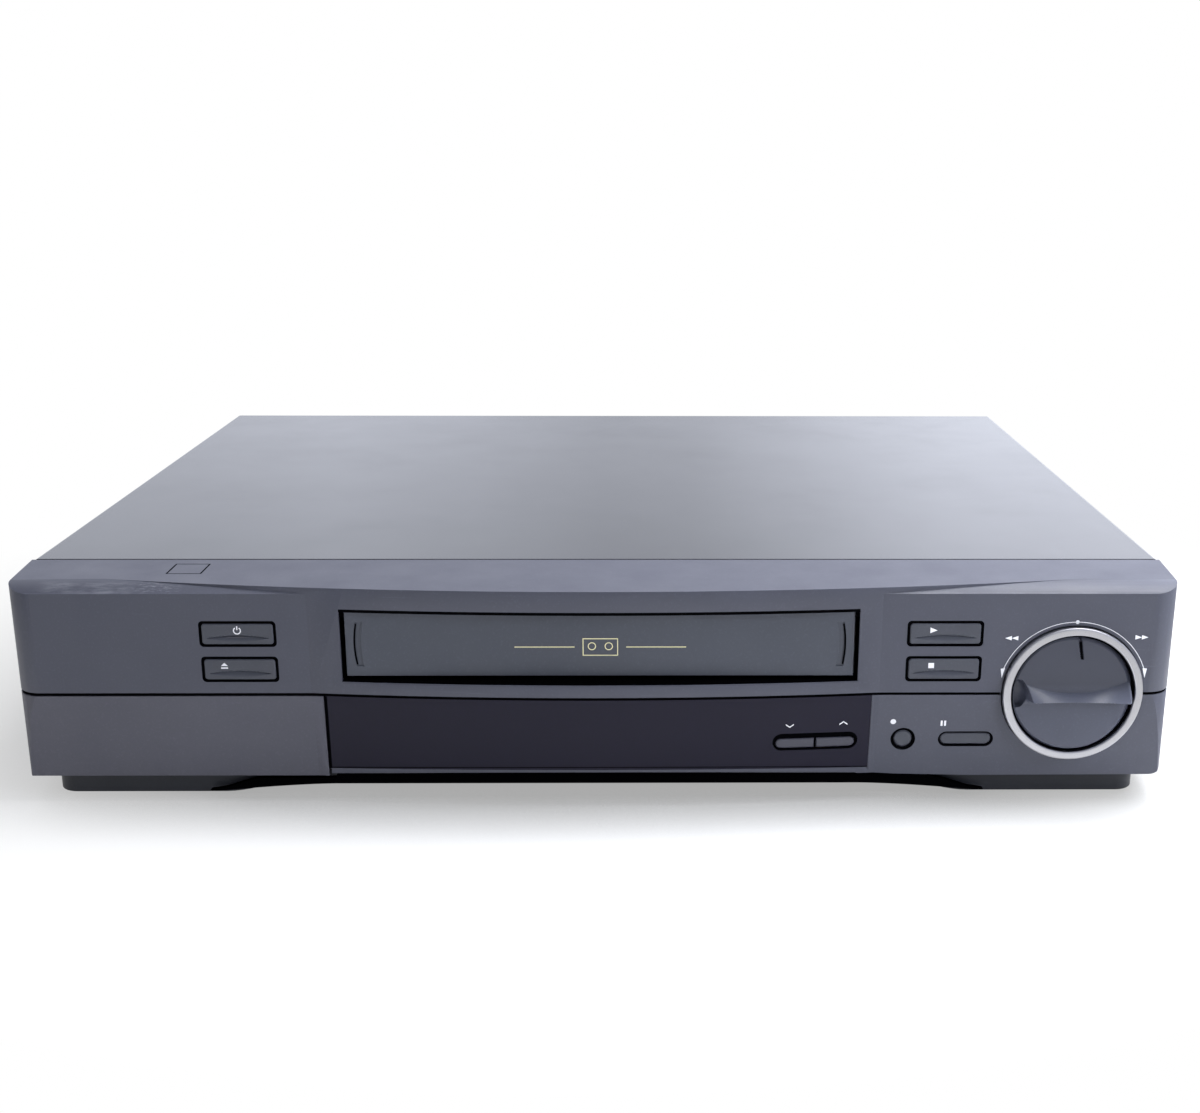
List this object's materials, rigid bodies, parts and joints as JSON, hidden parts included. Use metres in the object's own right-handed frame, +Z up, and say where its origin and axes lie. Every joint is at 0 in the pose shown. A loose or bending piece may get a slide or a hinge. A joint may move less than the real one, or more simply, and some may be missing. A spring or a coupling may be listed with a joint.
{
  "type": "video cassette recorder",
  "caption": "Full-width front-loading VHS cassette recorder with a crowned, gently swelling front, split groove, jog dial, keys, flap and fall-front socket door.",
  "frame": {"origin": "on the table, midway between the ends and midway between the dial's grip and the tips of the aerial sockets", "axes": "+X to the right seen from the front, +Y to the back, +Z up"},
  "size_m": [0.4368, 0.3496, 0.087],
  "materials": {
    "charcoal": "fine matt texture",
    "smoked": "semi-gloss, dark",
    "silver": "satin silver",
    "knob_grey": "satin",
    "flap_grey": "satin",
    "door_grey": "fine matt texture",
    "key_grey": "satin",
    "black_paint": "smooth gloss enamel",
    "black_plastic": "matt",
    "zinc_steel": "zinc plated sheet",
    "rubber": "matt",
    "rear_black": "matt",
    "screw_black": "blackened steel",
    "board_brown": "paper laminate",
    "board_green": "lacquered laminate",
    "switch_black": "satin",
    "tube_glass": "dark glass",
    "bare_steel": "plain",
    "white_plastic": "acetal, satin",
    "machined_aluminium": "turned",
    "sintered_brass": "oiled",
    "tin_can": "tin plate",
    "core_steel": "varnished laminations",
    "sleeve_blue": "shrunk sleeve",
    "cable_grey": "flat cable"
  },
  "bodies": {
    "case": {"front_moulding": "charcoal", "display_window": "smoked", "dial_ring": "silver", "top_cover": "black_paint", "front_plinth": "black_plastic", "base_pan": "zinc_steel", "rubber_feet": "rubber", "main_frame": "black_plastic", "rear_panel": "rear_black", "cover_screws": "screw_black", "socket_panel": "black_plastic", "left_key_board": "board_brown", "front_board": "board_brown", "key_switches": "switch_black", "display_tube": "tube_glass", "jog_encoder": "bare_steel", "deck_plate": "zinc_steel", "left_loader_frame": "black_plastic", "right_loader_frame": "black_plastic", "lower_drum": "machined_aluminium", "capstan_bearing": "sintered_brass", "erase_head": "bare_steel", "sound_head": "bare_steel", "loading_motor": "bare_steel", "main_board": "board_green", "tuner_module": "tin_can", "power_board": "board_brown", "transformer": "core_steel", "capacitors": "sleeve_blue", "heat_sink": "machined_aluminium", "ribbon_cables": "cable_grey", "phono_block": "black_plastic", "mains_inlet": "black_plastic"},
    "jog_dial": {"dial_knob": "knob_grey"},
    "flap": {"cassette_flap": "flap_grey"},
    "front_door": {"socket_door": "door_grey"},
    "power": {"power_key": "key_grey"},
    "eject": {"eject_key": "key_grey"},
    "play": {"play_key": "key_grey"},
    "stop": {"stop_key": "key_grey"},
    "record": {"record_key": "key_grey"},
    "pause": {"pause_key": "key_grey"},
    "channel_down": {"channel_down_key": "key_grey"},
    "channel_up": {"channel_up_key": "key_grey"},
    "carriage": {"loading_carriage": "white_plastic"},
    "holder": {"cassette_holder": "zinc_steel"},
    "supply_table": {"supply_reel": "white_plastic"},
    "takeup_table": {"takeup_reel": "white_plastic"},
    "idler": {"idler_arm": "bare_steel"},
    "idler_tyre": {"idler_wheel": "rubber"},
    "head_drum": {"upper_drum": "machined_aluminium"},
    "capstan_shaft": {"capstan": "bare_steel"},
    "pinch": {"pinch_arm": "bare_steel"},
    "pinch_tyre": {"pinch_roller": "rubber"},
    "supply_block": {"supply_guide": "sintered_brass"},
    "takeup_block": {"takeup_guide": "sintered_brass"},
    "tension": {"tension_arm": "bare_steel"},
    "pinion": {"motor_pinion": "white_plastic"},
    "cam": {"cam_gear": "white_plastic"},
    "output_switch": {"channel_switch": "switch_black"}
  },
  "joints": [
    {"name": "dial_turn", "type": "hinge", "parent": "case", "child": "jog_dial", "pos_m": [0.1767, -0.16825, 0.046], "axis": [0, 1, 0], "range_deg": [-73, 73], "stiffness_Nm_per_rad": 0.03},
    {"name": "flap_swing", "type": "hinge", "parent": "case", "child": "flap", "pos_m": [0.0017, -0.16675, 0.0774], "axis": [1, 0, 0], "range_deg": [0, 90], "stiffness_Nm_per_rad": 0.01},
    {"name": "door_fall", "type": "hinge", "parent": "case", "child": "front_door", "pos_m": [-0.155, -0.15898, 0.0142], "axis": [1, 0, 0], "range_deg": [0, 80]},
    {"name": "power_press", "type": "slide", "parent": "case", "child": "power", "axis": [0, 1, 0], "range_m": [0, 0.0008], "stiffness_N_per_m": 300},
    {"name": "eject_press", "type": "slide", "parent": "case", "child": "eject", "axis": [0, 1, 0], "range_m": [0, 0.0008], "stiffness_N_per_m": 300},
    {"name": "play_press", "type": "slide", "parent": "case", "child": "play", "axis": [0, 1, 0], "range_m": [0, 0.0008], "stiffness_N_per_m": 300},
    {"name": "stop_press", "type": "slide", "parent": "case", "child": "stop", "axis": [0, 1, 0], "range_m": [0, 0.0008], "stiffness_N_per_m": 300},
    {"name": "record_press", "type": "slide", "parent": "case", "child": "record", "axis": [0, 1, 0], "range_m": [0, 0.0008], "stiffness_N_per_m": 300},
    {"name": "pause_press", "type": "slide", "parent": "case", "child": "pause", "axis": [0, 1, 0], "range_m": [0, 0.0008], "stiffness_N_per_m": 300},
    {"name": "channel_down_press", "type": "slide", "parent": "case", "child": "channel_down", "axis": [0, 1, 0], "range_m": [0, 0.0008], "stiffness_N_per_m": 300},
    {"name": "channel_up_press", "type": "slide", "parent": "case", "child": "channel_up", "axis": [0, 1, 0], "range_m": [0, 0.0008], "stiffness_N_per_m": 300},
    {"name": "carriage_travel", "type": "slide", "parent": "case", "child": "carriage", "axis": [0, 1, 0], "range_m": [0, 0.066]},
    {"name": "holder_drop", "type": "slide", "parent": "carriage", "child": "holder", "axis": [0, 0, -1], "range_m": [0, 0.0207]},
    {"name": "supply_spin", "type": "hinge", "parent": "case", "child": "supply_table", "pos_m": [-0.0443, -0.07125, 0.025], "axis": [0, 0, 1], "continuous": true},
    {"name": "takeup_spin", "type": "hinge", "parent": "case", "child": "takeup_table", "pos_m": [0.0477, -0.07125, 0.025], "axis": [0, 0, 1], "continuous": true},
    {"name": "idler_swing", "type": "hinge", "parent": "case", "child": "idler", "pos_m": [0.0017, -0.06725, 0.025], "axis": [0, 0, 1], "range_deg": [-42, 42]},
    {"name": "idler_spin", "type": "hinge", "parent": "idler", "child": "idler_tyre", "pos_m": [0.0017, -0.09325, 0.025], "axis": [0, 0, 1], "continuous": true},
    {"name": "drum_spin", "type": "hinge", "parent": "case", "child": "head_drum", "pos_m": [0.0017, 0.01875, 0.031], "axis": [0.0872, 0, 0.9962], "continuous": true},
    {"name": "capstan_spin", "type": "hinge", "parent": "case", "child": "capstan_shaft", "pos_m": [0.0487, -0.01825, 0.025], "axis": [0, 0, 1], "continuous": true},
    {"name": "pinch_swing", "type": "hinge", "parent": "case", "child": "pinch", "pos_m": [0.07535, -0.0006, 0.025], "axis": [0, 0, 1], "range_deg": [0, 25], "stiffness_Nm_per_rad": 0.01},
    {"name": "pinch_spin", "type": "hinge", "parent": "pinch", "child": "pinch_tyre", "pos_m": [0.05135, 0, 0.04], "axis": [0, 0, 1], "continuous": true},
    {"name": "supply_guide_run", "type": "slide", "parent": "case", "child": "supply_block", "axis": [-0.3162, 0.9487, 0], "range_m": [0, 0.05092]},
    {"name": "takeup_guide_run", "type": "slide", "parent": "case", "child": "takeup_block", "axis": [0.3162, 0.9487, 0], "range_m": [0, 0.05092]},
    {"name": "tension_swing", "type": "hinge", "parent": "case", "child": "tension", "pos_m": [-0.0683, -0.03625, 0.025], "axis": [0, 0, 1], "range_deg": [0, 15], "stiffness_Nm_per_rad": 0.01},
    {"name": "pinion_turn", "type": "hinge", "parent": "case", "child": "pinion", "pos_m": [0.0517, 0.04375, 0.025], "axis": [0, 0, 1], "range_deg": [-681, 0]},
    {"name": "cam_turn", "type": "hinge", "parent": "case", "child": "cam", "pos_m": [0.0817, 0.04375, 0.025], "axis": [0, 0, 1], "range_deg": [0, 170]},
    {"name": "switch_slide", "type": "slide", "parent": "case", "child": "output_switch", "axis": [1, 0, 0], "range_m": [0, 0.003]}
  ],
  "couplings": [
    {"joint": "supply_guide_run", "follows": "cam_turn", "m_per_rad": 0.01716},
    {"joint": "takeup_guide_run", "follows": "cam_turn", "m_per_rad": 0.01716},
    {"joint": "pinion_turn", "follows": "cam_turn", "ratio": -4}
  ]
}
